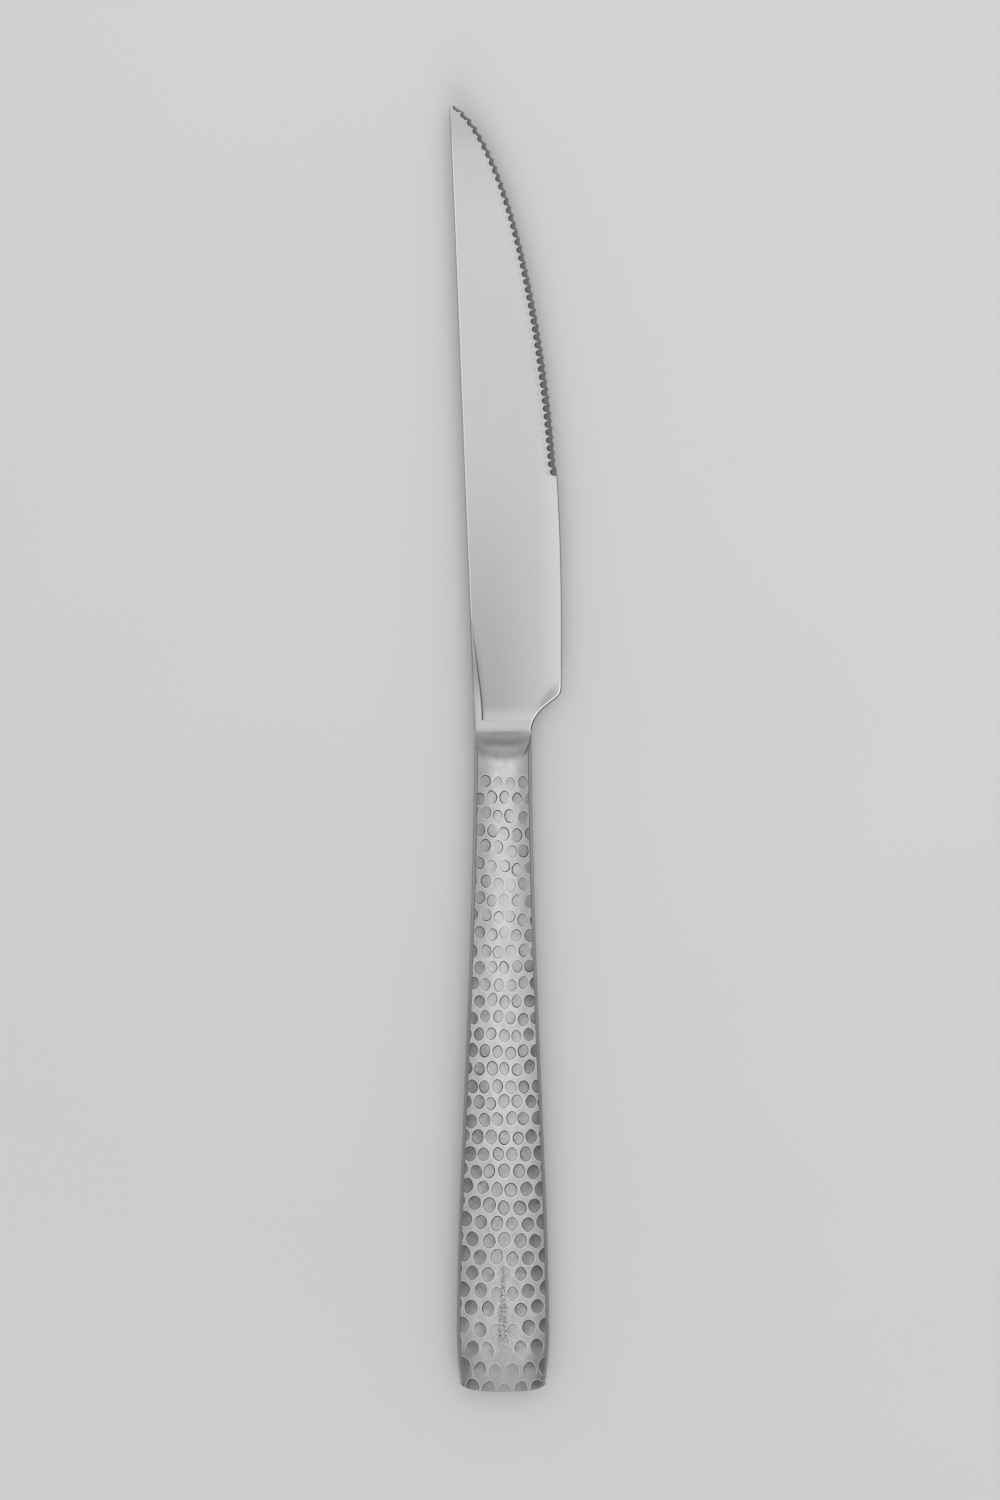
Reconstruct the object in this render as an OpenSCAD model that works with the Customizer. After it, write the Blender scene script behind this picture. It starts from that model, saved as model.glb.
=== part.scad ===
// Serrated table knife, all steel, with a hammered hollow handle.
// Millimetres. The knife lies on its flat: X across (edge to +X), Y along (tip to +Y), Z up.
// It is drawn about the handle's axis with the handle's mouth at Y = 0, then moved so that
// the frame's origin is under the middle of its box. On the handle, d is the distance behind the mouth.

/* [Blade] */
// Length from the handle's mouth to the tip
blade_length = 114.5; // [100:0.5:130]
// From the handle's axis to the edge, at the heel
heel_reach = 10.7; // [9.5:0.1:13]
// From the handle's axis to the back of the blade, at the tip
back_reach = 9.85; // [8.5:0.05:11]
// Width of the blunt nose between the back and the edge
nose_width = 0.95; // [0.6:0.05:2]
// From the handle's mouth to the corner of the heel
heel_height = 8.4; // [7:0.1:10]
// Thickness of the back next to the bolster
back_thickness = 1.9; // [1.5:0.05:2.4]
// Thickness of the edge at the heel
heel_thickness = 1.2; // [0.9:0.05:1.4]
// Thickness at the tip
tip_thickness = 0.75; // [0.6:0.05:1.1]

/* [Serration] */
// Distance from one tooth to the next, measured along the knife
tooth_pitch = 1.45; // [1.2:0.05:2]
// From the handle's mouth to the first groove
serration_start = 46.7; // [40:0.5:60]
// Radius of the wheel that ground the grooves
groove_radius = 1.35; // [1.1:0.05:2]
// Angle between a groove and the blade's flat
groove_angle = 35; // [28:1:45]

/* [Bolster] */
// Length of the bolster in front of the joint
bolster_length = 1.9; // [1.5:0.1:3]
// Thickness of the bolster and of the handle's mouth
mouth_thickness = 2.7; // [2.5:0.1:3.2]
// Width of the rib where it leaves the bolster, along the back
rib_width = 1.7; // [1.2:0.1:2.4]
// Length of the rib along the back
rib_length = 22; // [15:0.5:30]

/* [Handle] */
// Length from the mouth to the butt
handle_length = 120.5; // [105:0.5:130]
// Width at the mouth
neck_width = 10.4; // [9.5:0.1:11.5]
// Greatest width, near the butt
butt_width = 16.8; // [15:0.1:18.5]
// Width across the corners of the butt
corner_width = 15.4; // [14:0.1:17]
// Rounding of the corners of the butt
corner_round = 1.4; // [1:0.1:2.5]
// How far the middle of the butt stands out behind its corners
butt_bow = 1.3; // [0.8:0.1:2]
// Thickness behind the ramp
neck_thickness = 6.4; // [6:0.1:7]
// Thickness near the butt
butt_thickness = 8.7; // [8.4:0.1:9.2]
// Radius across the crown
crown_radius = 14; // [13:0.1:16]
// Width of the flat strip along the middle of the crown
crown_flat = 2.6; // [2:0.1:3.2]
// Length of the ramp from the mouth up to the crown
ramp_length = 5.2; // [4:0.1:6]
// Length over which the crown rolls down to the butt
roll_length = 8.5; // [6:0.1:11]
// Thickness of the shells' metal
wall = 0.65; // [0.5:0.05:0.75]

/* [Hammering] */
// Distance between rows of dimples
row_pitch = 3.1; // [2.9:0.05:3.6]
// Distance between the dimples of a row, at the mouth
neck_pitch = 2.3; // [2.2:0.05:2.5]
// Distance between the dimples of a row, at the butt
butt_pitch = 2.9; // [2.6:0.05:3]
// From the mouth to the first row
first_row = 9.2; // [8.8:0.1:12]
// Depth of a dimple
dimple_depth = 0.22; // [0.12:0.01:0.3]
// Land left between two dimples of a row
dimple_land = 0.5; // [0.4:0.05:0.8]
// How far a dimple's wall leans out over its depth
dimple_flare = 0.3; // [0.2:0.05:0.4]

/* [Joints] */
// Thickness of the braze between the two shells
braze_gap = 0.2; // [0.1:0.05:0.4]
// Thickness of the solder between the bolster and the mouth
solder_gap = 0.15; // [0.1:0.05:0.3]
// Play between the spigot and the inside of the mouth
spigot_play = 0.05; // [0.03:0.01:0.1]
// Length of the spigot inside the mouth
spigot_length = 4; // [3:0.1:6]
// Length of the tang behind the spigot
tang_length = 46; // [30:0.5:60]
// Width of the tang
tang_width = 6; // [5:0.1:6.6]
// Depth of the notches that key the tang into the cement
notch_depth = 0.9; // [0.5:0.1:1.2]
// Number of notches on each side of the tang
notch_count = 3; // [2:1:4]

/* [Hidden] */
$fn = 96;
steel = [0.75, 0.75, 0.74];
braze_colour = [0.80, 0.78, 0.70];
cement_colour = [0.45, 0.42, 0.38];

// Steps along the curves and when halving, length of the cutting blocks, and overshoot of a cut
curve_steps = 28;
short_steps = 18;
halvings = 16;
far = 4 * (blade_length + handle_length);
over = 1;

// Guide points that bend the outlines, as shares of the width and length that each curve spans
back_bend = [[0.09, 0.103], [0.54, 0.53], [0.82, 0.867]];
edge_bend = [[1.03, 0.43], [0.9, 0.559], [0.237, 0.954]];
heel_bend = [[1, 0.69], [0.89, 0.75], [0.07, 0.5], [0, 0.16]];
rib_bend = [[0.55, 0.3], [-0.05, 0.65]];
side_bend = [[0.163, 0], [0.528, 0.29], [0.756, 1]];
widest_share = 0.913;
end_bend = 0.4;
roll_slope = 0.1;
roll_bend = 0.016;
ramp_bend = -0.3;

neck_half = neck_width / 2;
butt_half = butt_width / 2;
corner_half = corner_width / 2;
mouth_half = mouth_thickness / 2;

// Outline of the blade: back, blunt nose, edge and heel
back_gain = back_reach - neck_half;
heel_gain = heel_reach - neck_half;
nose_x = nose_width - back_reach;
nose_y = blade_length - nose_width;
back_curve = concat([[-neck_half, 0]],
                    [for (b = back_bend) [-neck_half - b[0] * back_gain, b[1] * blade_length]],
                    [[-back_reach, nose_y]]);
nose_curve = [[-back_reach, nose_y], [-back_reach, blade_length - nose_width / 2],
              [nose_x - nose_width / 2, blade_length], [nose_x, blade_length]];
edge_curve = concat([[heel_reach, heel_height]],
                    [for (b = edge_bend) [b[0] * heel_reach, b[1] * blade_length]],
                    [[nose_x, blade_length]]);
heel_curve = concat([[heel_reach, heel_height]],
                    [for (b = heel_bend) [neck_half + b[0] * heel_gain, b[1] * heel_height]],
                    [[neck_half, 0]]);

// Slopes of the blade's flats across and along it
slope_across = (back_thickness - heel_thickness) / 2 / (heel_reach + neck_half);
slope_along = (back_thickness - tip_thickness) / 2 / blade_length;
tilt_across = atan(slope_across);
tilt_along = atan(slope_along * cos(tilt_across));

// Serration: how deep the wheel bites into the edge between two teeth
groove_count = floor((blade_length - serration_start) / tooth_pitch + 0.5);
groove_bite = (groove_radius - sqrt(groove_radius ^ 2 - tooth_pitch ^ 2 / 4)) / sin(groove_angle);
groove_length = 3 * back_thickness / sin(groove_angle);

// Ledge where the bolster meets the blade, and the rib that runs out along the back
ledge_y = solder_gap + bolster_length;
rib_end = ledge_y + rib_length;
rib_tilt = atan((mouth_half - flat_height(-neck_half, rib_end)) / rib_length);
rib_curve = concat([[rib_width - neck_half, ledge_y]],
                   [for (b = rib_bend) [b[0] * rib_width - neck_half, ledge_y + b[1] * rib_length]],
                   [[back_x(rib_end), rib_end]]);

// Outline of the handle: side, corner and end of the butt, as distance and half width
widest_d = widest_share * handle_length;
corner_d = handle_length - butt_bow;
side_curve = concat([[0, neck_half]],
                    [for (b = side_bend) [b[0] * widest_d, neck_half + b[1] * (butt_half - neck_half)]],
                    [[widest_d, butt_half]]);
corner_curve = [[widest_d, butt_half], [(widest_d + corner_d) / 2, butt_half],
                [corner_d - corner_round, (3 * corner_half + butt_half) / 4], [corner_d, corner_half]];
end_curve = [[corner_d, corner_half], [handle_length, corner_half - corner_round],
             [handle_length, end_bend * corner_half], [handle_length, 0]];

// Crown of the handle, which rises from the ramp to the roll
roll_start = handle_length - roll_length;
crown_slope = (butt_thickness - neck_thickness) / 2 / (roll_start - ramp_length);
crown_tilt = atan(crown_slope);
flat_sag = crown_radius - sqrt(crown_radius ^ 2 - crown_flat ^ 2 / 4);
crown_end = handle_length + over;
top_height = butt_thickness / 2;

row_count = floor((roll_start - row_pitch / 2 - first_row) / row_pitch) + 1;
side_count = ceil(butt_half / neck_pitch);

tang_thickness = mouth_thickness - 2 * wall - 2 * spigot_play;
notch_pitch = tang_length / (notch_count + 1);

// Middle of the knife's box
mid_x = (heel_reach - back_reach) / 2;
mid_y = (blade_length - handle_length) / 2;

// A curve bent by its guide points, a place on it, and the step where coordinate k reaches v
function between(p, t) = [for (i = [0 : len(p) - 2]) p[i] * (1 - t) + p[i + 1] * t];
function curve_at(p, t) = len(p) == 1 ? p[0] : curve_at(between(p, t), t);
function curve(p, steps) = [for (i = [0 : steps - 1]) curve_at(p, i / steps)];
function step_at(p, k, v, low = 0, high = 1, n = halvings) =
    let (t = (low + high) / 2)
        n == 0 ? t
        : curve_at(p, t)[k] < v ? step_at(p, k, v, t, high, n - 1) : step_at(p, k, v, low, t, n - 1);
function reversed(p) = [for (i = [len(p) - 1 : -1 : 0]) p[i]];

function back_x(y) = curve_at(back_curve, step_at(back_curve, 1, y))[0];
function edge_x(y) = curve_at(edge_curve, step_at(edge_curve, 1, y))[0];
function half_width(d) = curve_at(side_curve, step_at(side_curve, 0, d))[1];

// Half thickness of the blade's flat at a place on it
function flat_height(x, y) = back_thickness / 2 - slope_across * (x + neck_half) - slope_along * y;

// Height of the crown's flat, of the ramp and of the roll
function crown_height(d) = neck_thickness / 2 + crown_slope * (d - ramp_length);
function ramp_height(d) =
    let (t = d / ramp_length)
        mouth_half + (neck_thickness / 2 - mouth_half) * ((1 - ramp_bend) * t + ramp_bend * t ^ 2);
function roll_height(d) =
    top_height - roll_slope * (d - roll_start) - roll_bend * (d - roll_start) ^ 2;

function dimple_pitch(d) = neck_pitch + (butt_pitch - neck_pitch) * d / handle_length;

// Move from the handle's axis to the shared frame
module placed() {
    translate([-mid_x, -mid_y, top_height]) children();
}

module both_sides() {
    intersection() {
        children();
        mirror([0, 0, 1]) children();
    }
}

// Everything between two distances along the knife
module slab(from, to) {
    translate([-far, from, -far]) cube([2 * far, to - from, 2 * far]);
}

// Everything above a level
module above(level) {
    translate([-far, -far, level]) cube([2 * far, 2 * far, far]);
}

// Everything under a sloping plane through the origin
module under_slope(along_angle, across_angle) {
    rotate([-along_angle, across_angle, 0])
        translate([-far, -far, -2 * far]) cube(2 * far);
}

module blade_outline() {
    polygon(concat(curve(back_curve, curve_steps), curve(nose_curve, short_steps),
                   [[nose_x, blade_length]], reversed(curve(edge_curve, 2 * curve_steps)),
                   curve(heel_curve, short_steps), [[neck_half, 0]]));
}

module blade_plate() {
    translate([0, 0, -mouth_half]) linear_extrude(mouth_thickness) blade_outline();
}

module blade_flats() {
    intersection() {
        blade_plate();
        both_sides()
            translate([-neck_half, 0, back_thickness / 2]) under_slope(tilt_along, tilt_across);
        slab(solder_gap, blade_length + over);
    }
}

// One groove, running down and outwards through the edge
module groove(y) {
    translate([edge_x(y) - groove_bite, y, -flat_height(edge_x(y), y)])
        rotate([0, groove_angle, 0])
            translate([0, 0, groove_radius])
                rotate([0, 90, 0]) cylinder(r = groove_radius, h = groove_length, center = true);
}

module serration() {
    for (i = [0 : groove_count - 1])
        groove(serration_start + (i + 0.5) * tooth_pitch);
}

module rib_outline() {
    polygon(concat(curve(rib_curve, curve_steps),
                   [[back_x(rib_end), rib_end], [-back_reach, rib_end], [-back_reach, solder_gap],
                    [rib_width - neck_half, solder_gap]]));
}

module rib() {
    intersection() {
        blade_plate();
        translate([0, 0, -mouth_half]) linear_extrude(mouth_thickness) rib_outline();
        both_sides() translate([0, ledge_y, mouth_half]) under_slope(rib_tilt, 0);
    }
}

module bolster() {
    intersection() {
        blade_plate();
        slab(solder_gap, ledge_y);
    }
}

// A bar with the section of the handle's mouth
module mouth_bar(inset, from, to) {
    translate([inset - neck_half, from, inset - mouth_half])
        cube([neck_width - 2 * inset, to - from, mouth_thickness - 2 * inset]);
}

module tang() {
    difference() {
        translate([-tang_width / 2, -spigot_length - tang_length, -tang_thickness / 2])
            cube([tang_width, tang_length + over, tang_thickness]);
        for (i = [1 : notch_count], side = [-1, 1])
            translate([side * (tang_width / 2 + notch_depth), -spigot_length - i * notch_pitch,
                       -tang_thickness])
                cylinder(r = 2 * notch_depth, h = 2 * tang_thickness);
    }
}

// Outline of the handle from above, drawn in by the inset
module handle_outline(inset) {
    side = [for (p = concat([[-over, neck_half]], curve(side_curve, curve_steps),
                            curve(corner_curve, short_steps), curve(end_curve, short_steps)))
        if (p[0] < handle_length - inset) [p[1] - inset, -p[0]]];
    other = [for (p = side) [-p[0], p[1]]];
    polygon(concat(side, [[0, inset - handle_length]], reversed(other)));
}

// Everything under the crown: a round bar with a flat along its top
module crown(inset) {
    translate([0, -roll_start, top_height])
        intersection() {
            translate([0, 0, -inset]) under_slope(crown_tilt, 0);
            translate([0, 0, flat_sag - crown_radius])
                rotate([90 - crown_tilt, 0, 0])
                    cylinder(r = crown_radius - inset, h = 3 * handle_length, center = true);
        }
}

// Side view of the upper half: ramp at the mouth, roll at the butt, clear of the crown between
module handle_profile(inset) {
    ramp_to = 1.3 * ramp_length;
    roll_from = roll_start - roll_length / 2;
    ramp = [for (i = [0 : curve_steps])
        let (d = ramp_to * i / curve_steps) [-d, ramp_height(d) - inset]];
    roll = [for (i = [0 : curve_steps])
        let (d = roll_from + (crown_end - roll_from) * i / curve_steps) [-d, roll_height(d) - inset]];
    polygon(concat([[over, -over], [over, mouth_half - inset]], ramp,
                   [[-ramp_to, butt_thickness], [-roll_from, butt_thickness]], roll, [[-crown_end, -over]]));
}

module upper_half(inset) {
    intersection() {
        translate([0, 0, -over]) linear_extrude(butt_thickness) handle_outline(inset);
        crown(inset);
        rotate([90, 0, 90])
            translate([0, 0, -butt_width]) linear_extrude(2 * butt_width) handle_profile(inset);
    }
}

// One dimple, set square to the crown and deeper where the flat has taken the crown off
module dimple(x, d) {
    lean = asin(x / crown_radius);
    sunk = max(0, flat_sag - crown_radius * (1 - cos(lean)));
    mouth = (dimple_pitch(d) - dimple_land) / 2;
    translate([0, -d, crown_height(d) + flat_sag - crown_radius])
        rotate([0, lean, 0])
            translate([0, 0, crown_radius - sunk - dimple_depth])
                cylinder(r1 = mouth - dimple_flare, r2 = mouth + dimple_flare, h = 2 * dimple_depth);
}

// Staggered rows of the dimples that lie wholly on the crown
module hammering() {
    for (row = [0 : row_count - 1], i = [-side_count : side_count])
        let (d = first_row + row * row_pitch, x = (i + (row % 2) / 2) * dimple_pitch(d))
            if (abs(x) < half_width(d) - dimple_pitch(d) / 2 - dimple_flare)
                dimple(x, d);
}

module handle_shell() {
    difference() {
        intersection() {
            upper_half(0);
            above(braze_gap / 2);
            slab(-handle_length - over, 0);
        }
        upper_half(wall);
        hammering();
    }
}

// Upper half of the hollow, behind the spigot
module hollow_half() {
    intersection() {
        upper_half(wall);
        above(0);
        slab(-handle_length, -spigot_length);
    }
}

module blade() {
    color(steel) placed() {
        difference() {
            blade_flats();
            serration();
        }
        rib();
        bolster();
        mouth_bar(wall + spigot_play, -spigot_length, ledge_y);
        tang();
    }
}

module handle_shell_upper() {
    color(steel) placed() handle_shell();
}

module handle_shell_lower() {
    color(steel) placed() mirror([0, 0, 1]) handle_shell();
}

module seam_braze() {
    color(braze_colour) placed()
        intersection() {
            translate([0, 0, -braze_gap / 2])
                linear_extrude(braze_gap)
                    difference() {
                        handle_outline(0);
                        handle_outline(wall);
                    }
            slab(-handle_length - over, 0);
        }
}

module neck_solder() {
    color(braze_colour) placed()
        difference() {
            mouth_bar(0, 0, solder_gap);
            mouth_bar(wall, -over, solder_gap + over);
        }
}

module handle_cement() {
    color(cement_colour) placed()
        difference() {
            union() {
                hollow_half();
                mirror([0, 0, 1]) hollow_half();
            }
            tang();
        }
}

blade();
handle_shell_upper();
handle_shell_lower();
seam_braze();
neck_solder();
handle_cement();
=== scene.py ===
import bisect
import math
import random
from collections import namedtuple

import bmesh
import bpy
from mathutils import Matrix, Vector, noise


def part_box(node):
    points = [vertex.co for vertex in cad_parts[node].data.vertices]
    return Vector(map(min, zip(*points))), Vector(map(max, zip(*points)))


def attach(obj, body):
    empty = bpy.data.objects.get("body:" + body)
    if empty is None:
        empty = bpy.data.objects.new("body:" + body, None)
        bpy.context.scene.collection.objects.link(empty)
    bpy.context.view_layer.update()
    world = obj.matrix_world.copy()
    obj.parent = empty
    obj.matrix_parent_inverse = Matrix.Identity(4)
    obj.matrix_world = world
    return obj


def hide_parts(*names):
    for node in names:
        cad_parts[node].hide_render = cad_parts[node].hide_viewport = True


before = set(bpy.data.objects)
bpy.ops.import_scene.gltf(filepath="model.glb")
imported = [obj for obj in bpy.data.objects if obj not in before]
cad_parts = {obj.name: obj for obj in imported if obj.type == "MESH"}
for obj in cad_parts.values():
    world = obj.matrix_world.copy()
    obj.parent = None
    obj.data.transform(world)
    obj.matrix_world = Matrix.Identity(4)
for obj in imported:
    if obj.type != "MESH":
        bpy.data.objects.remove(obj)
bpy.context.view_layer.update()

# Sizes are in millimetres about the handle's axis: X across, with the edge to +X; Y along, with the tip to +Y
# and the handle's mouth at 0; Z up from the middle of the thickness. On the handle, d is the distance behind the
# mouth. A pair of places given to `eased` is where a change begins and where it is complete.
MM_PER_M = 1000
solder_low, solder_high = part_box("neck_solder")
AXIS_X = (solder_low.x + solder_high.x) / 2 * MM_PER_M
MOUTH_Y = solder_low.y * MM_PER_M
MIDDLE_Z = (solder_low.z + solder_high.z) / 2 * MM_PER_M
TINY, SAME_PLACE, SLACK, NEAR = 1e-6, 1e-5, 0.01, 0.02

# The blade's outline, and its half thickness at the mouth and at the back, from which it thins to edge and tip
BLADE_LENGTH = 114.5
HEEL_REACH, HEEL_HEIGHT = 10.7, 8.4
BACK_REACH, NOSE_WIDTH = 9.85, 0.95
MOUTH_HALF, BACK_HALF = 1.35, 0.95
THINNER_ACROSS, THINNER_ALONG = 0.022013, 0.0050218

# The bolster ends at a ledge, from which a rib runs along the back. The flat rises to the ledge, and is
# hollowed towards the plain edge.
SOLDER_GAP, LEDGE = 0.15, 2.05
RIB_WIDTH, RIB_LENGTH = 1.31, 22.0
RIB_END = LEDGE + RIB_LENGTH
PLUNGE_LENGTH, PLUNGE_RISE = 2.6, 0.07
HOLLOW_WIDTH, HOLLOW_DEPTH = 3.6, 0.09
HOLLOW_BEGINS, HOLLOW_ENDS = (4, 12), (42, 75)

# The spigot in the handle's mouth, and the tang in the cement
SPIGOT_HALF, SPIGOT_LENGTH = 4.5, 4.0
TANG_HALF, TANG_LENGTH, TANG_THICK_HALF = 3.0, 50.0, 0.65

# Tooth grooves, and the bites where they come up through the blade's face; both get smaller towards the tip
TEETH, TOOTH_PITCH, SERRATION_START = 47, 1.448, 46.7
GROOVE_OPEN, GROOVE_CLOSER, GROOVES_CLOSE = 1.55, 0.5, (90, 112)
FIRST_GROOVE_CUT = 0.15
BITE_SHIFT, BITES_SHRINK, NOSE_START = 0.35, (60, 112), 112
BITE_WIDTH, BITE_NARROWER, NOSE_NARROWER = 1.18, 0.4, 0.35
BITE_HALF, BITE_SHORTER = 0.76, 0.1
BITE_BOW, BITE_FLATTER = 1.2, 0.4
GROOVE_LEAST, GROOVE_LESS = 0.5, 0.36

# Across the blade's upper side: the chamfer along the back and the arris below it, a strip, the rib's foot, and
# the lip above the edge. All shrink where the blade is narrower than FULL_WIDTH.
FULL_WIDTH, LEAST_FACE = 4.0, 0.9
CHAMFER, ARRIS, STRIP = 0.2, 0.06, 0.45
FOOT, FOOT_NARROWER, FOOT_LINE = 0.24, 0.1, 0.05
LIP_SHADE, LIP_LINE = 0.26, 0.1
TOOTH_UNDERCUT, GROOVE_STEPS = 0.02, (0.34, 0.67, 1.0)

# The plain edge's bevel is broad at the heel and narrow in front of it
BEVEL, BEVEL_LESS = 0.2, 0.09
BRINK, BRINK_LESS = 0.16, 0.1
STEEPEST, PLAIN_BEGINS = 4.0, (7, 11)
BEVEL_FALLS, BEVEL_STEP, EDGE_UNDERCUT = (0.03, 0.07, 0.3), 0.03, 0.1

# The blade's net: steps along and across it, and the columns of those lines
PLAIN_STEPS, TOOTH_STEPS = 36, 12
STRIP_STEPS, FACE_STEPS, UNDER_STEPS = 4, 15, 8
ARRIS_COLUMN, STRIP_COLUMN, FOOT_COLUMN, LIP_COLUMN = 1, 3, 7, 25
BOLSTER_ROWS = [SOLDER_GAP, 0.3, 0.8, 1.4, LEDGE - 0.04, LEDGE, LEDGE + 0.05]
NOSE_ROWS = [BLADE_LENGTH - 0.05, BLADE_LENGTH - 0.02, BLADE_LENGTH]
HEEL_ROWS_START, TEETH_ROWS_GAP = LEDGE + 0.15, 0.04

# How dark the painted shade and how light the painted highlight along those lines are, and where along the blade
# that changes; the teeth's from face to edge
ARRIS_DARK, ARRIS_DARKER, ARRIS_DARKENS = 0.5, 0.3, (8, 16)
STRIP_LIGHT, STRIP_BEGINS, STRIP_ENDS = 0.8, (14, 24), (105, 110)
FOOT_DARK, FOOT_FADE, FOOT_FADES = 0.75, 0.8, (LEDGE + 6, RIB_END)
LEDGE_DARK, LEDGE_FADES = 0.2, (LEDGE + 1, LEDGE + 4)
FOOT_SHADE, FOOT_SHADE_FADES = 0.22, (12, 20)
BEVEL_LIGHT_FADES = 8, 12
TOOTH_LIGHT, TOOTH_DARKS = 0.5, (0.16, 0.0, 1.0, 0.66, 0.64, 0.68)

# The handle's outline: widest near the butt, which has rounded corners and a bowed end
HANDLE_LENGTH = 120.5
NECK_HALF, BUTT_HALF, CORNER_HALF = 5.2, 8.4, 7.7
CORNER_ROUND, BUTT_BOW, WIDEST = 1.4, 1.3, 110.0165

# Its height: a ramp up from the mouth, a crown with a flat crest, and a roll down at the butt
NECK_TOP, BUTT_TOP = 3.2, 4.35
CROWN_RADIUS, CROWN_FLAT, CROWN_REACH = 14.0, 2.6, 8.5
NECK_ROUND, NECK_FLATTENS = 0.64, (5, 75)
RAMP_LENGTH, RAMP_BEND, RAMP_ROUND = 5.2, 2.45, 0.5
RAMP_SLOPE, RAMP_CURVE, UPPER_RAMP_SLOPE = 0.36, 0.041, 0.2627
ROLL_START, ROLL_SLOPE, ROLL_CURVE = 112.0, 0.1, 0.016

# Its ground side bands, in two facets that meet in a ridge, the butt's chamfer, the seam and the wall
SIDE_BAND, BAND_BEGINS, END_BAND = 0.64, (0.2, 4.5), 0.15
RIDGE_OUT, RIDGE_UP, BUTT_RIDGE_OUT = 0.6, 0.62, 0.6
SEAM, WALL = 0.1, 0.65

# Rows of hammer strokes, in a net of staggered six-sided cells behind the ramp's own rows
FIRST_ROW, ROW_PITCH = 9.2, 3.075
HALF_CELLS, SPARE_CELLS, FRONT_ROWS = 7, 2, 4
CELL_WIDTH, CELL_WIDER, CELLS_WIDEN = 2.3, 0.7, (60, 104)
CELL_OFFSET, CELL_JITTER_X, CELL_JITTER_D = 0.25, 0.14, 0.16
ROWS_SPREAD, SPREAD_ROWS = 3.15, (30, 36.5)
ROWS_SAG, SAG_BEGINS, SAG_HALF = 0.8, (60, 105), 7.5
ROWS_SLANT, SLANT_BEGINS, SLANT_ENDS = 0.1, (10, 15), (34, 44)
SLANT_WANDER, WANDER_LENGTH = 0.06, 25
FLOOR_LEAN, BOWL = 0.75, 0.05

# Where the strokes change along the handle, and how far from its axis
STROKES_GROW, LAST_ROWS, BUTT_RIM = (50, 102), (105, 114), (114, 118)
HAZE_BEGINS, HAZE_ENDS, HAZE_ASIDE = (14, 24), (38, 50), (1.0, 3.5)
CREST_WEARS, CREST_ASIDE = (84, 104), (1.5, 5.5)
NECK_FLOORS_END, UNEVEN_ENDS, RIMS_CLOSE, HALF_STRUCK = (15, 45), (18, 40), (25, 60), (92, 108)

# Guide points of the curves, as shares of a reach across and of a length along
BACK_GUIDES = (0.09, 0.103), (0.54, 0.53), (0.82, 0.867)
HEEL_GUIDES = (0, 0.16), (0.07, 0.5), (0.89, 0.75), (1, 0.69)
EDGE_GUIDES = (1.03, 0.43), (0.9, 0.559), (0.237, 0.954)
RIB_GUIDES = (0.88, 0.3), (0.08, 0.5), (-0.29, 0.72)
SIDE_GUIDES = (0, 0.163), (0.29, 0.528), (1, 0.756)
BUTT_GUIDE = 0.4


# Curves

def bent(points, t):
    """A place on the curve that the guide points bend."""
    while len(points) > 1:
        points = [a.lerp(b, t) for a, b in zip(points, points[1:])]
    return points[0]


def traced(*curves, steps=120):
    """Places along curves that follow each other."""
    return [bent([Vector(p) for p in c], i / steps) for c in curves for i in range(steps + 1)]


def reading(places, at=0):
    """The other coordinate of a traced curve, as a function of coordinate `at`."""
    rows = sorted((p[at], p[1 - at]) for p in places)
    keys = [r[0] for r in rows]

    def read(value):
        i = min(max(bisect.bisect(keys, value), 1), len(keys) - 1)
        (a, u), (b, w) = rows[i - 1], rows[i]
        share = min(max((value - a) / (b - a), 0.0), 1.0) if b > a else 0.0
        return u + (w - u) * share
    return read


def eased(value, start, end):
    """0 before start, 1 after end, and smooth between."""
    t = min(max((value - start) / (end - start), 0.0), 1.0)
    return t * t * (3 - 2 * t)


def spread(start, end, steps):
    """Even places from start to end."""
    return [start + (end - start) * i / steps for i in range(steps + 1)]


back_gain, heel_gain = BACK_REACH - NECK_HALF, HEEL_REACH - NECK_HALF
nose_x, nose_y = NOSE_WIDTH - BACK_REACH, BLADE_LENGTH - NOSE_WIDTH
back_x = reading(traced(
    [(-NECK_HALF, 0)]
    + [(-NECK_HALF - a * back_gain, b * BLADE_LENGTH) for a, b in BACK_GUIDES]
    + [(-BACK_REACH, nose_y)],
    [(-BACK_REACH, nose_y), (-BACK_REACH, BLADE_LENGTH - NOSE_WIDTH / 2),
     (nose_x - NOSE_WIDTH / 2, BLADE_LENGTH), (nose_x, BLADE_LENGTH)]), 1)
heel_places = traced(
    [(NECK_HALF, 0)]
    + [(NECK_HALF + a * heel_gain, b * HEEL_HEIGHT) for a, b in HEEL_GUIDES]
    + [(HEEL_REACH, HEEL_HEIGHT)])
edge_x = reading(heel_places + traced(
    [(HEEL_REACH, HEEL_HEIGHT)]
    + [(a * HEEL_REACH, b * BLADE_LENGTH) for a, b in EDGE_GUIDES]
    + [(nose_x, BLADE_LENGTH)]), 1)
rib_x = reading(traced(
    [(RIB_WIDTH - NECK_HALF, LEDGE)]
    + [(a * RIB_WIDTH - NECK_HALF, LEDGE + b * RIB_LENGTH) for a, b in RIB_GUIDES]
    + [(back_x(RIB_END), RIB_END)]), 1)

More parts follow.
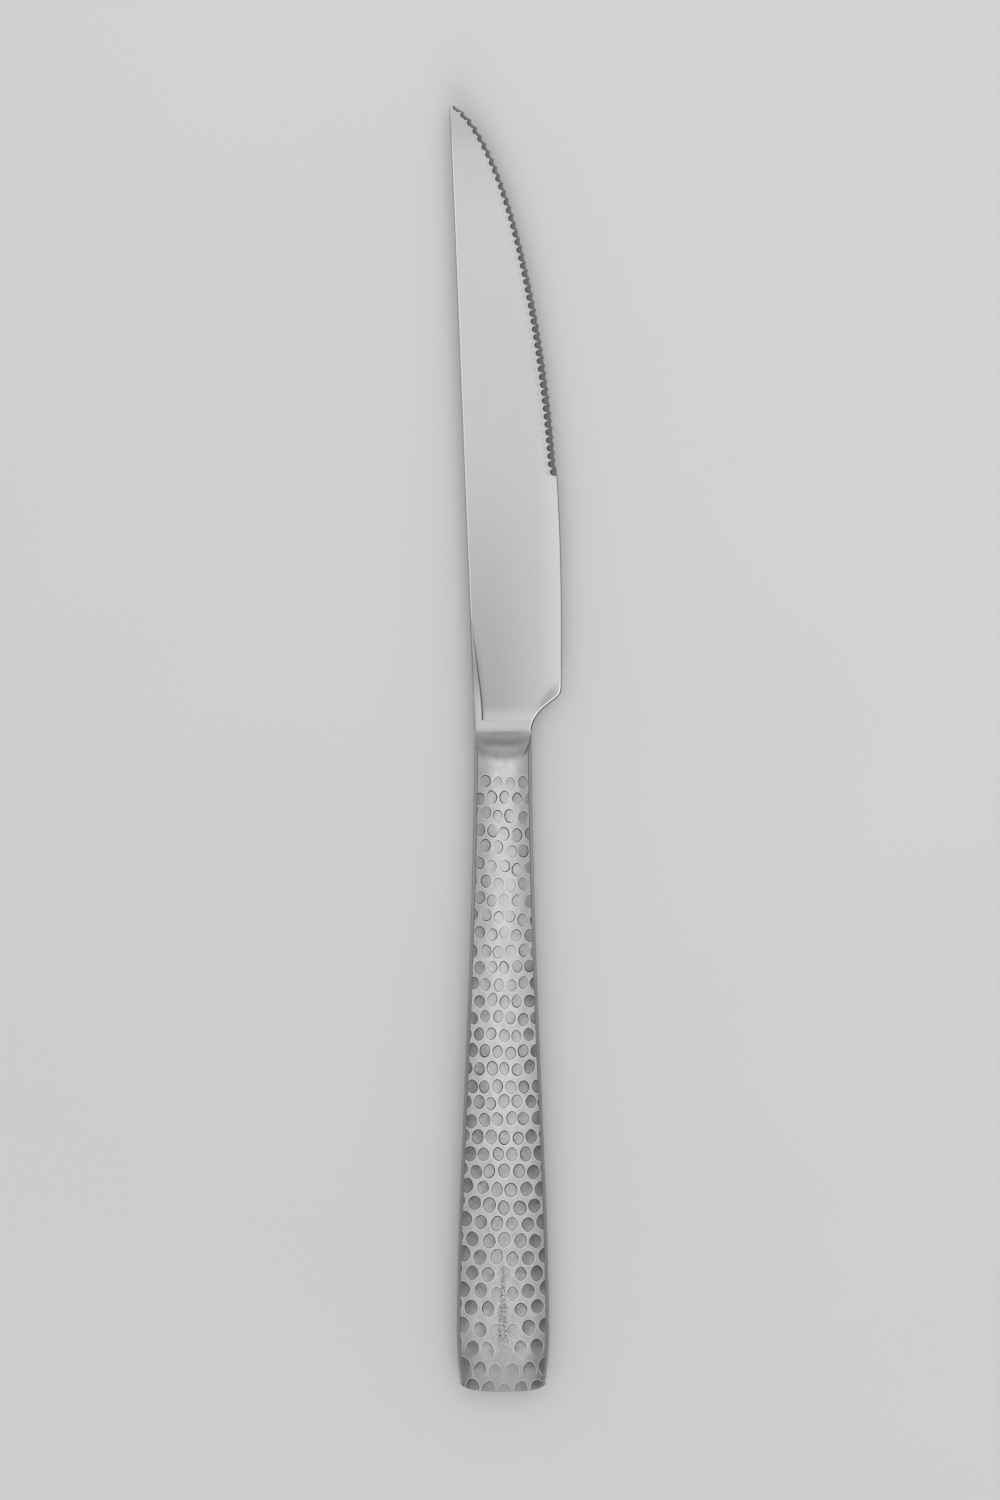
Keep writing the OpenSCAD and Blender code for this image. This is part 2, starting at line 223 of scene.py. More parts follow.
widening = BUTT_HALF - NECK_HALF
corner_d = HANDLE_LENGTH - BUTT_BOW
half_width = reading(traced(
    [(0, NECK_HALF)]
    + [(b * WIDEST, NECK_HALF + a * widening) for a, b in SIDE_GUIDES]
    + [(WIDEST, BUTT_HALF)],
    [(WIDEST, BUTT_HALF), ((WIDEST + corner_d) / 2, BUTT_HALF),
     (corner_d - CORNER_ROUND, (3 * CORNER_HALF + BUTT_HALF) / 4), (corner_d, CORNER_HALF)]))
butt_end = reading(traced(
    [(CORNER_HALF, corner_d), (CORNER_HALF - CORNER_ROUND, HANDLE_LENGTH),
     (BUTT_GUIDE * CORNER_HALF, HANDLE_LENGTH), (0, HANDLE_LENGTH)]))


# Blade

def blade_flat(x, y):
    """The upper side of the blade without its rib and hollow."""
    return BACK_HALF - THINNER_ACROSS * (x + NECK_HALF) - THINNER_ALONG * y


rib_fall = (MOUTH_HALF - blade_flat(-NECK_HALF, RIB_END)) / RIB_LENGTH
tooth_ys = [SERRATION_START + TOOTH_PITCH * i for i in range(TEETH)]
teeth = [(edge_x(y), y) for y in tooth_ys] + [(nose_x, BLADE_LENGTH)]
Groove = namedtuple("Groove", "x deepest curve bite")


def ground_groove(low, high):
    """A groove between two teeth: its deepest place at the edge, how open it is, and its bite's middle."""
    (low_x, low_y), (high_x, high_y) = low, high
    curve = GROOVE_OPEN - GROOVE_CLOSER * eased(low_y, *GROOVES_CLOSE)
    middle = (low_y + high_y) / 2
    deepest = middle - curve * (high_x - low_x) / (high_y - low_y) / 2
    x = low_x - (low_y - deepest) ** 2 / curve
    return Groove(x, deepest, curve, middle + BITE_SHIFT * (deepest - middle))


grooves = [ground_groove(low, high) for low, high in zip(teeth, teeth[1:])]


def groove_at(y):
    return grooves[min(max(bisect.bisect(tooth_ys, y) - 1, 0), len(grooves) - 1)]


def toothed_x(y):
    """The edge of the blade between the teeth; the first groove hardly cuts it."""
    groove = groove_at(y)
    cut = groove.x + (y - groove.deepest) ** 2 / groove.curve
    return edge_x(y) + FIRST_GROOVE_CUT * (cut - edge_x(y)) if groove is grooves[0] else cut


def bitten_x(y):
    """Where the grooves come up through the blade's face, in rounder bites than those of the edge."""
    middle = groove_at(y).bite
    near_tip = eased(y, *BITES_SHRINK)
    width = BITE_WIDTH - BITE_NARROWER * near_tip - NOSE_NARROWER * eased(y, NOSE_START, BLADE_LENGTH)
    height = BITE_HALF - BITE_SHORTER * near_tip
    bow = BITE_BOW * (1 - BITE_FLATTER * near_tip)
    bite = bow * (1 - math.sqrt(max(0.0, 1 - ((y - middle) / height) ** 2)))
    return min(toothed_x(middle) - width + bite, toothed_x(y) - GROOVE_LEAST + GROOVE_LESS * near_tip)


def face_height(x, y):
    """The upper side of the blade: bolster, ledge, rib along the back, and the flat with its hollow."""
    ground = blade_flat(x, y)
    if y < LEDGE + TINY:
        return MOUTH_HALF
    if x < rib_x(y) + TINY and y < RIB_END:
        return max(MOUTH_HALF - rib_fall * (y - LEDGE), ground)
    hollow = max(0.0, 1 - (edge_x(y) - x) / HOLLOW_WIDTH)
    hollow = hollow * eased(y, *HOLLOW_BEGINS) * (1 - eased(y, *HOLLOW_ENDS))
    plunge = max(0.0, 1 - (y - LEDGE) / PLUNGE_LENGTH)
    return ground - HOLLOW_DEPTH * hollow ** 2 + PLUNGE_RISE * plunge ** 2


def blade_section(y):
    """Points round the blade at one place along it: upper side from the back to the edge, then back below."""
    back, edge = back_x(y), edge_x(y)
    room = min(1.0, max((edge - back) / FULL_WIDTH, 0.0))
    serrated = y >= SERRATION_START
    if serrated:
        edge = max(toothed_x(y), back)
        lip = max(bitten_x(y), back + LEAST_FACE * room)
    else:
        lean = (edge_x(y + NEAR) - edge_x(y - NEAR)) / (2 * NEAR)
        stretch = math.hypot(1, min(abs(lean), STEEPEST))
        plain = eased(y, *PLAIN_BEGINS)
        brink = edge - (BEVEL - BEVEL_LESS * plain) * stretch
        lip = brink - (BRINK - BRINK_LESS * plain) * stretch

    chamfer = CHAMFER * room
    rib_edge = back + STRIP * room
    if y < RIB_END:
        rib_edge = max(rib_x(y), rib_edge)
    rib_foot = rib_edge + (FOOT - FOOT_NARROWER * eased(y, LEDGE, RIB_END)) * room
    upper = spread(back + chamfer, rib_edge, STRIP_STEPS) + [rib_foot]
    upper += spread(rib_foot + FOOT_LINE * room, lip - LIP_SHADE * room, FACE_STEPS)
    upper += [lip - LIP_LINE * room, lip]
    side = face_height(back, y) - chamfer
    points = [(back, side - ARRIS * room), (back, side)] + [(x, face_height(x, y)) for x in upper]

    top, bottom = points[-1][1], -face_height(edge, y)
    if serrated:
        points += [(lip + (edge - lip) * t, top + (bottom - top) * t) for t in GROOVE_STEPS]
        points += [(edge - TOOTH_UNDERCUT * room, bottom)]
    else:
        bevel = brink, brink + BEVEL_STEP * stretch, edge
        points += [(x, top - fall) for x, fall in zip(bevel, BEVEL_FALLS)] + [(edge - EDGE_UNDERCUT, bottom)]
    below = spread(points[-1][0], back + chamfer, UNDER_STEPS)[1:]
    return points + [(x, -face_height(x, y)) for x in below] + [(back, -side)]


def blade_rows():
    """Places along the blade for the rows of its net, closest at the ledge, the heel and the teeth."""
    rows = BOLSTER_ROWS + [p.y for p in heel_places[::2] if HEEL_ROWS_START < p.y < HEEL_HEIGHT - SLACK]
    rows += spread(HEEL_HEIGHT, SERRATION_START - TEETH_ROWS_GAP, PLAIN_STEPS)
    ends = tooth_ys + [BLADE_LENGTH]
    for low, high in zip(ends, ends[1:]):
        rows += spread(low, high, TOOTH_STEPS)[:-1]
    return rows + NOSE_ROWS


def net_of(bm, columns, rows):
    """A flat net of vertices, as rows of columns."""
    bmesh.ops.create_grid(bm, x_segments=columns - 1, y_segments=rows - 1, size=0.5)
    ordered = sorted(bm.verts, key=lambda v: (round(v.co.y, 6), v.co.x))
    return [ordered[i * columns:(i + 1) * columns] for i in range(rows)]


def open_edges(bm):
    return [e for e in bm.edges if e.is_boundary]


def line_row(verts, y, groove, polished):
    """Marks where the painted shade lines and the painted highlight lines along the blade cross a row of its net.
    """
    verts[ARRIS_COLUMN][groove] = ARRIS_DARK + ARRIS_DARKER * eased(y, *ARRIS_DARKENS)
    for v in verts[STRIP_COLUMN:STRIP_COLUMN + 2]:
        v[polished] = STRIP_LIGHT * eased(y, *STRIP_BEGINS) * (1 - eased(y, *STRIP_ENDS))
    if LEDGE + SLACK < y < RIB_END:
        foot = FOOT_DARK * (1 - FOOT_FADE * eased(y, *FOOT_FADES))
        verts[FOOT_COLUMN][groove] = foot + LEDGE_DARK * (1 - eased(y, *LEDGE_FADES))
        verts[FOOT_COLUMN + 1][groove] = FOOT_SHADE * (1 - eased(y, *FOOT_SHADE_FADES))
    if y < SERRATION_START:
        for v in verts[LIP_COLUMN:LIP_COLUMN + 2]:
            v[polished] = 1 - eased(y, *BEVEL_LIGHT_FADES)
        for v in verts[LIP_COLUMN + 2:LIP_COLUMN + 4]:
            v[groove] = 1.0
    else:
        verts[LIP_COLUMN - 1][polished] = TOOTH_LIGHT
        for v, dark in zip(verts[LIP_COLUMN - 2:], TOOTH_DARKS):
            v[groove] = dark


def forge_blade():
    """The blade with its bolster and rib, drawn out behind into the spigot and the tang."""
    bm = bmesh.new()
    # The marks hold painted shade along dark lines, where the rib and bolster are raised, and painted highlights
    # along light lines
    groove, raised, polished = (bm.verts.layers.float.new(name) for name in ("groove", "raised", "polished"))
    rows = blade_rows()
    sections = [blade_section(y) for y in rows]
    for verts, y, section in zip(net_of(bm, len(sections[0]) + 1, len(rows)), rows, sections):
        for v, (x, z) in zip(verts, section + section[:1]):
            v.co = x, y, z
            on_rib = y < RIB_END and x < rib_x(y) + SLACK
            v[raised] = 1.0 if y < LEDGE + SLACK or on_rib else 0.0
        line_row(verts, y, groove, polished)
    bmesh.ops.remove_doubles(bm, verts=bm.verts, dist=SAME_PLACE)
    caps = bmesh.ops.holes_fill(bm, edges=open_edges(bm), sides=0)["faces"]
    rear = min(caps, key=lambda f: f.calc_center_median().y)
    for half, y in ((SPIGOT_HALF, SOLDER_GAP), (SPIGOT_HALF, -SPIGOT_LENGTH),
                    (TANG_HALF, -SPIGOT_LENGTH), (TANG_HALF, -TANG_LENGTH)):
        bmesh.ops.inset_individual(bm, faces=[rear], thickness=SLACK, depth=0)
        for v in rear.verts:
            z = min(max(v.co.z, -TANG_THICK_HALF), TANG_THICK_HALF)
            v.co = min(max(v.co.x, -half), half), y, z
    return bm


# Handle

crown_rise = (BUTT_TOP - NECK_TOP) / (ROLL_START - RAMP_LENGTH)


def crown_height(x, d):
    """The crown before hammering: flat along its crest, and rounder at the neck than at the butt."""
    radius = CROWN_RADIUS * (NECK_ROUND + (1 - NECK_ROUND) * eased(d, *NECK_FLATTENS))
    level = math.sqrt(radius ** 2 - CROWN_FLAT ** 2 / 4)
    sag = level - math.sqrt(radius ** 2 - min(abs(x), CROWN_REACH) ** 2)
    return NECK_TOP + crown_rise * (d - RAMP_LENGTH) - max(sag, 0.0)


def ramp_height(x, d):
    """Steeper and steeper from the mouth to a bend, then gentle up to the crown; a little round across."""
    steep = min(d, RAMP_BEND)
    rise = MOUTH_HALF + RAMP_SLOPE * steep + RAMP_CURVE * steep * steep + UPPER_RAMP_SLOPE * (d - steep)
    return rise - RAMP_ROUND * (crown_height(0, d) - crown_height(x, d)) * steep / RAMP_BEND


def shell_height(x, d):
    """The lowest of ramp, crown and roll."""
    past = max(d - ROLL_START, 0)
    roll = BUTT_TOP - ROLL_SLOPE * past - ROLL_CURVE * past ** 2
    ramp = ramp_height(x, d) if d < 2 * RAMP_LENGTH else BUTT_TOP
    return min(crown_height(x, d), ramp, roll)


def ramp_end(x):
    """Where the ramp meets the crown, found by halving."""
    low, high = 0.5, RAMP_LENGTH + 0.5
    for _ in range(24):
        d = (low + high) / 2
        low, high = (d, high) if ramp_height(x, d) < crown_height(x, d) else (low, d)
    return low


def corner_half(d):
    """From the handle's axis to the line where the side band cuts the crown."""
    return half_width(min(d, corner_d)) - SIDE_BAND * eased(d, *BAND_BEGINS)


def end_line(x):
    """From the mouth to the line where the butt's chamfer cuts the crown."""
    return butt_end(abs(x)) - END_BAND


def cell_width(d):
    return CELL_WIDTH + CELL_WIDER * eased(d, *CELLS_WIDEN)


def stroke_line(row):
    """From the mouth to the middle of a row of strokes; the rows spread a little near the butt."""
    return FIRST_ROW + row * ROW_PITCH + ROWS_SPREAD * eased(row, *SPREAD_ROWS)


def either_way(chance, reach):
    return chance.uniform(-reach, reach)


def tiled_crown(bm, chance, seed):
    """A flat net whose rows of six-sided cells are staggered as the hammer's strokes; returns the cells."""
    strokes = int((HANDLE_LENGTH - FIRST_ROW) / ROW_PITCH) + 1
    columns = 2 * HALF_CELLS + 1
    net = net_of(bm, columns, FRONT_ROWS + strokes + 1)[::-1]
    for j, verts in enumerate(net):
        line = stroke_line(max(j - FRONT_ROWS, 0) - 0.5)
        slant = (ROWS_SLANT * eased(line, *SLANT_BEGINS) * (1 - eased(line, *SLANT_ENDS))
                 + SLANT_WANDER * noise.noise((0, line / WANDER_LENGTH, seed)))
        for v, k in zip(verts, range(-HALF_CELLS, HALF_CELLS + 1)):
            point = ROW_PITCH / 6 * (1 if (k + j - FRONT_ROWS) % 2 == 0 else -1)
            x = k * cell_width(line) / 2 + CELL_OFFSET
            sag = ROWS_SAG * eased(line, *SAG_BEGINS) * (1 - (x / SAG_HALF) ** 2)
            d = line + point + slant * x + sag + either_way(chance, CELL_JITTER_D)
            x += either_way(chance, CELL_JITTER_X)
            if j < FRONT_ROWS:
                x = k * NECK_HALF / (HALF_CELLS - SPARE_CELLS)
                d = (0, RAMP_BEND / 2, RAMP_BEND, ramp_end(x))[j]
            v.co = x, d, 0
    joined = [bm.edges.get((net[j][i], net[j + 1][i])) for j in range(FRONT_ROWS, FRONT_ROWS + strokes)
              for i in range(1, columns - 1) if (i - HALF_CELLS + j - FRONT_ROWS) % 2 == 1]
    bmesh.ops.dissolve_edges(bm, edges=joined, use_verts=False)
    bmesh.ops.subdivide_edges(bm, edges=bm.edges[:], cuts=3, use_grid_fill=True)
    return [f for f in bm.faces if len(f.verts) > 4]


# A dimple: half its size across and along, how pointed its two ends are, its turn and depth, the bearing of its
# deep side, the strength of its floor's painted shade and of its edge's painted lip highlight and shadow line,
# and how much these change from the deep side to the other
Stroke = namedtuple("Stroke", "cell middle across along fore aft turn depth deep_side floor edge fade whole")


def stroke_in(cell, chance):
    """How the hammer fell in a cell: harder towards the butt, faint where the strokes are hazy, and worn off
    along the crest; with how strong its painted floor shade and edge marks are.
    """
    middle = cell.calc_center_median()
    aside, d = abs(middle.x), middle.y
    grown, last = eased(d, *STROKES_GROW), eased(d, *LAST_ROWS)
    worn = (1 - eased(aside, 0.6 + 0.6 * last, 2.2 + 1.7 * last)) * eased(d, *CREST_WEARS)
    worn *= 1 - 0.25 * eased(d, *BUTT_RIM)
    hazy = eased(d, *HAZE_BEGINS) * (1 - eased(d, *HAZE_ENDS))
    faint = (1 - eased(aside, *HAZE_ASIDE)) * hazy * chance.uniform(0.2, 0.9)
    kept = 1 - 0.85 * worn
    strength = kept * (1 - faint)

    middle += Vector((either_way(chance, 0.15), either_way(chance, 0.32), 0))
    aside, d = abs(middle.x), middle.y
    across = (0.96 + 0.22 * grown) * chance.uniform(0.93, 1.05)
    along = (1.18 + 0.21 * grown + 0.2 * last) * chance.uniform(0.92, 1.08)
    fore, aft = chance.uniform(1.5, 2.1), chance.uniform(1.5, 2.1)
    turn = either_way(chance, 0.25)
    depth = chance.uniform(0.065, 0.095) * strength
    deep_side = chance.uniform(-2.3, -0.9) + either_way(chance, 2.2) * (1 - grown)

    # Painted shade on the floor: less along the crest, at the neck and in the hazy stretch, more down the sides
    # and towards the butt; then the strength of the painted lip highlight and shadow line at the edge
    crest = 0.52 + 0.4 * grown
    floor = strength * (crest + (1 - crest) * eased(aside, *CREST_ASIDE))
    floor *= (0.8 + 0.2 * eased(d, *NECK_FLOORS_END)) * (1 - 0.25 * hazy)
    uneven = 1.2 * (1 - eased(d, *UNEVEN_ENDS))
    edge = chance.choice((0.75, 0.9, 1.05, 1.4))
    edge = kept * (1 - 0.4 * faint) * (edge + uneven * (edge - 1))
    half_struck = eased(d, *HALF_STRUCK)
    fade = 0.22 + 0.06 * half_struck + 0.12 * last
    whole = 0.5 + 0.26 * eased(d, *RIMS_CLOSE) - 0.13 * half_struck - 0.15 * last
    return Stroke(cell, middle, across, along, fore, aft, turn, depth, deep_side, floor, edge, fade, whole)


def strike(bm, cells, chance, marks):
    """Sinks a dimple into each cell; `into` runs from 0 at the land to 1 at the edge of the dimple's floor."""
    strokes = [stroke_in(cell, chance) for cell in cells]

    def drawn_in(inward, sunk, into):
        bmesh.ops.inset_individual(bm, faces=cells, thickness=NEAR, depth=0)
        for s in strokes:
            for v in s.cell.verts:
                ray = v.co - s.middle
                ray.z = 0
                bearing = math.atan2(ray.y, ray.x)
                aside, ahead = math.cos(bearing - s.turn), math.sin(bearing - s.turn)
                point = s.fore if ahead < 0 else s.aft
                oval = (abs(aside / s.across) ** point + abs(ahead / s.along) ** point) ** (-1 / point)
                lean = math.cos(bearing - s.deep_side)
                v.co = s.middle + ray.normalized() * min(oval - inward, ray.length)
                v.co.z = -s.depth * (1 + FLOOR_LEAN * lean) * sunk
                v[marks["into"]] = into
                # The floor's painted shade and the edge's painted lip highlight and shadow line, stronger on the
                # deep side
                v[marks["floor"]] = s.floor * (1 - s.fade + s.fade * lean)
                v[marks["rim"]] = s.edge * (s.whole + (1 - s.whole) * lean)

    drawn_in(inward=-0.26, sunk=0, into=0)
    drawn_in(inward=0, sunk=0.15, into=0.62)
    drawn_in(inward=0.16, sunk=1, into=1)
    bowls = bmesh.ops.poke(bm, faces=cells)["verts"]
    for v, s in zip(bowls, strokes):
        v.co.z -= BOWL * s.floor


def drawn_out(bm, edges):
    """Grows new faces from edges; gives their far vertices and edges, and the faces."""
    grown = bmesh.ops.extrude_edge_only(bm, edges=edges)["geom"]
    kinds = bmesh.types.BMVert, bmesh.types.BMEdge, bmesh.types.BMFace
    return [[g for g in grown if isinstance(g, kind)] for kind in kinds]


def clipped(bm, where):
    """Cuts off what lies beyond a place, square to the line from the origin to it."""
    bmesh.ops.bisect_plane(bm, geom=bm.verts[:] + bm.edges[:] + bm.faces[:], dist=TINY,
                           plane_co=where, plane_no=where, clear_outer=True)


def trim_crown(bm):
    """Trims the flat net to the outline, and raises it to the shell's height."""
    # The outline is straight where widths are shares of the handle's own, so two cuts trim both sides
    for v in bm.verts:
        v.co.x /= corner_half(v.co.y)
    clipped(bm, (1, 0, 0))
    clipped(bm, (-1, 0, 0))
    for v in bm.verts:
        v.co.x *= corner_half(v.co.y)
        v.co.y /= end_line(v.co.x)
    clipped(bm, (0, 1, 0))
    for v in bm.verts:
        d = v.co.y * end_line(v.co.x)
        v.co = v.co.x, -d, shell_height(v.co.x, d) + v.co.z


def at_butt(place):
    return -place.y > end_line(place.x) - NEAR


def grind_bands(bm, marks, ground):
    """Draws the rim out to the bands' ridge and down to the seam; the butt's chamfer is only half ground."""
    butt_share = 1 + BUTT_RIDGE_OUT * (CORNER_HALF / corner_half(corner_d) - 1)
    rim = [e for e in open_edges(bm) if min(v.co.y for v in e.verts) < -SLACK]
    for to_seam in (False, True):
        verts, rim, faces = drawn_out(bm, rim)
        for face in faces:
            face[ground] = 0.5 if at_butt(face.calc_center_median()) and not to_seam else 1.0
        for v in verts:
            x, y, z = v.co
            if at_butt(v.co):
                x *= butt_share
                v.co = x, -butt_end(abs(x)), SEAM if to_seam else z - END_BAND
            else:
                out = abs(x) + (half_width(-y) - abs(x)) * (1 if to_seam else RIDGE_OUT)
                v.co = math.copysign(out, x), y, SEAM if to_seam else SEAM + (z - SEAM) * RIDGE_UP
            v[marks["into"]] = v[marks["floor"]] = v[marks["rim"]] = 0
            v[marks["ridge"]] = 0.0 if to_seam else 1.0


def hollow_out(bm):
    """Turns the rim in by the wall, and closes the shell with a ceiling under the crown."""
    for v in drawn_out(bm, open_edges(bm))[0]:
        v.co.x -= math.copysign(min(WALL, abs(v.co.x)), v.co.x)
        v.co.y = max(v.co.y, WALL - HANDLE_LENGTH)
        v.co.z = max(v.co.z - WALL, SEAM)
    for v in drawn_out(bm, open_edges(bm))[0]:
        if v.co.y < -SLACK:
            v.co.z = max(SEAM, shell_height(v.co.x, -v.co.y) - 2 * WALL)

    # The ceiling starts at the same corner and runs the same way round each time, so it always splits alike
    for ceiling in bmesh.ops.holes_fill(bm, edges=open_edges(bm), sides=0)["faces"]:
        ceiling.normal_update()
        corners = list(ceiling.verts)[::1 if ceiling.normal.z > 0 else -1]
        first = corners.index(min(corners, key=lambda v: v.co[:]))
        bm.faces.remove(ceiling)
        bm.faces.new(corners[first:] + corners[:first])


def hammer_shell(side, seed):
    """One half of the handle: hammered crown, side bands down to the seam, and the hollow inside."""
    bm = bmesh.new()
    marks = {name: bm.verts.layers.float.new(name) for name in ("into", "floor", "rim", "ridge")}
    ground = bm.faces.layers.float.new("ground")
    chance = random.Random(seed)
    strike(bm, tiled_crown(bm, chance, seed), chance, marks)
    trim_crown(bm)
    grind_bands(bm, marks, ground)
    hollow_out(bm)
    for v in bm.verts:
        v.co.z *= side
    return bm


# Finishes

class Shade:
    """A number that changes over a surface, so that shader maths reads as sums."""

    def __init__(self, tree, socket):
        self.tree, self.socket = tree, socket

    def sum(self, operation, *values):
        return made(self.tree, "ShaderNodeMath", {"operation": operation}, dict(enumerate(values)))

    def __add__(self, other):
        return self.sum("ADD", self, other)

    def __radd__(self, other):
        return self.sum("ADD", other, self)

    def __sub__(self, other):
        return self.sum("SUBTRACT", self, other)

    def __rsub__(self, other):
        return self.sum("SUBTRACT", other, self)

    def __mul__(self, other):
        return self.sum("MULTIPLY", self, other)

    def __rmul__(self, other):
        return self.sum("MULTIPLY", other, self)

    def size(self):
        return self.sum("ABSOLUTE", self)

    def eased(self, start, end):
        """0 at start, 1 at end, and smooth between."""
        return made(self.tree, "ShaderNodeMapRange", {"interpolation_type": "SMOOTHSTEP"},
                    {0: self, 1: start, 2: end})


def made(tree, kind, settings=None, values=None, out=0):
    """A node with its settings, then its sockets' values or links; gives one of its outputs."""
    node = tree.nodes.new(kind)
    for name, setting in (settings or {}).items():
        if name == "stops":
            ramp = node.color_ramp
            while len(ramp.elements) < len(setting):
                ramp.elements.new(0.5)
            for stop, (place, value) in zip(ramp.elements, setting):
                stop.position, stop.color = place, grey(value)
        else:
            setattr(node, name, setting)
    for name, value in (values or {}).items():
        if isinstance(value, Shade):
            tree.links.new(value.socket, node.inputs[name])
        else:
            node.inputs[name].default_value = value
    return Shade(tree, node.outputs[out]) if node.outputs else node


def grey(value, warmth=0.0):
    return (value * (1 + warmth), value, value * (1 - warmth), 1)


# Tones, in pairs from dark to light where grain mixes them; the shade and highlight tones are painted light and
# shade
BLACK = grey(0.0)
BLADE_TONES, RIB_TONE = (grey(0.64), grey(0.715)), grey(0.65)
HIGHLIGHT_TONE, LINE_SHADE_TONE = grey(0.92), grey(0.07)
LAND_TONES, FLOOR_SHADE_TONES = (grey(0.63), grey(0.85)), (grey(0.2), grey(0.5))
LIP_HIGHLIGHT_TONE, RIM_SHADE_TONE = grey(0.97), grey(0.09)
SCRATCH_AND_SHADE_TONES, CREASE_SHADE_TONE = (grey(0.22), grey(0.32)), grey(0.12)
SEAM_SHADE_TONE, RIDGE_HIGHLIGHT_TONE, PIT_TONE = grey(0.08), grey(0.62), grey(0.14)
BRAZE_TONES = grey(0.5, 0.02), grey(0.62, 0.02)
CEMENT_TONES = grey(0.34, 0.06), grey(0.5, 0.06)
TABLE_TONES = grey(0.70), grey(0.765)


def mixed(tree, share, low, high, blend="MIX"):
    """A colour between two others, or the second blended into the first."""
    return made(tree, "ShaderNodeMix", {"data_type": "RGBA", "blend_type": blend},
                {0: share, 6: low, 7: high}, out=2)


def darkened(tree, share, colour):
    return mixed(tree, share, colour, BLACK)


def turned(tree, operation, *values, out=0):
    """Vector maths."""
    return made(tree, "ShaderNodeVectorMath", {"operation": operation}, dict(enumerate(values)), out=out)


def grain(tree, scale, detail=2.0, roughness=0.5):
    """Noise whose scale is in patches per millimetre along X, Y and Z."""
    place = made(tree, "ShaderNodeTexCoord", out=3)
    place = turned(tree, "MULTIPLY", place, [s * MM_PER_M for s in scale])
    return made(tree, "ShaderNodeTexNoise", None,
                {"Vector": place, "Scale": 1.0, "Detail": detail, "Roughness": roughness})


def about_axis(tree):
    """Distance across from the handle's axis and distance behind the mouth, in millimetres."""
    place = made(tree, "ShaderNodeTexCoord", out=3)
    across, along = (made(tree, "ShaderNodeSeparateXYZ", None, {0: place}, out=i) for i in (0, 1))
    return across * MM_PER_M - AXIS_X, MOUTH_Y - along * MM_PER_M


def marked(tree, *names):
    """Values kept on the piece's mesh."""
    return [made(tree, "ShaderNodeAttribute", {"attribute_name": name}, out=2) for name in names]


def emptied(owner):
    """The node tree of a material or a world, with nothing in it."""
    owner.use_nodes = True
    owner.node_tree.nodes.clear()
    return owner.node_tree


def finish(name):
    material = bpy.data.materials.new(name)
    return material, emptied(material)


def surfaced(tree, values):
    shader = made(tree, "ShaderNodeBsdfPrincipled", None, values)
    made(tree, "ShaderNodeOutputMaterial", None, {"Surface": shader})


def bumped(tree, strength, distance, height):
    return made(tree, "ShaderNodeBump", None, {"Strength": strength, "Distance": distance, "Height": height})


def brushed_blade():
    """Steel brushed along the blade, with painted shade near the bolster and at the tip."""
    material, tree = finish("brushed_blade")
    groove, raised, polished = marked(tree, "groove", "raised", "polished")
    streaks = grain(tree, (9, 0.35, 9), 3)
    specks = grain(tree, (5, 5, 5), 1)
    across, behind = about_axis(tree)
    # Painted shade: darkest near the bolster on the back's side, eased off at the ledge, and again towards the
    # tip
    painted_blade_shade = 0.27 * behind.eased(-55, 0) * (1 - across.eased(-4, 10)) * (1 - 0.5 * behind.eased(-5.5, -2.2))
    painted_blade_shade = painted_blade_shade + 0.12 * behind.eased(-104, -111) + 0.06 * behind.eased(-92, -104)

    # A slanted streak of painted shade where the heel is ground away, standing in for the shading of a shallow
    # dish there
    aside, ahead = across - 8.25, -6.05 - behind
    length, width = (0.6 * aside + 0.8 * ahead).size(), (0.8 * aside - 0.6 * ahead).size()
    painted_heel_shade = (1 - length.eased(0.8, 3.8)) * (1 - width.eased(0.1, 1.3))
    face = mixed(tree, streaks * 0.5 + specks * 0.5, *BLADE_TONES)
    face = darkened(tree, painted_blade_shade + 0.25 * painted_heel_shade, face)

    # The rib and the bolster get painted shade towards the back, the mouth and the tip
    shaded = 0.22 * across.eased(-4.4, -5.3) * (1 - behind.eased(-3, -8)) + 0.2 * behind.eased(-0.8, 0)
    shaded = shaded + 0.36 * behind.eased(-3.6, -11) - 0.15 * behind.eased(-12, -18)
    face = mixed(tree, raised, face, darkened(tree, shaded, RIB_TONE))

    # Painted highlights along the light lines, then painted shade along the dark ones
    face = mixed(tree, polished, face, HIGHLIGHT_TONE)
    face = mixed(tree, groove, face, LINE_SHADE_TONE)
    surfaced(tree, {"Base Color": face, "Metallic": 1.0, "Normal": bumped(tree, 0.05, 0.00004, streaks),
                    "Roughness": 0.19 + 0.04 * streaks + 0.12 * groove + 0.2 * raised})
    return material


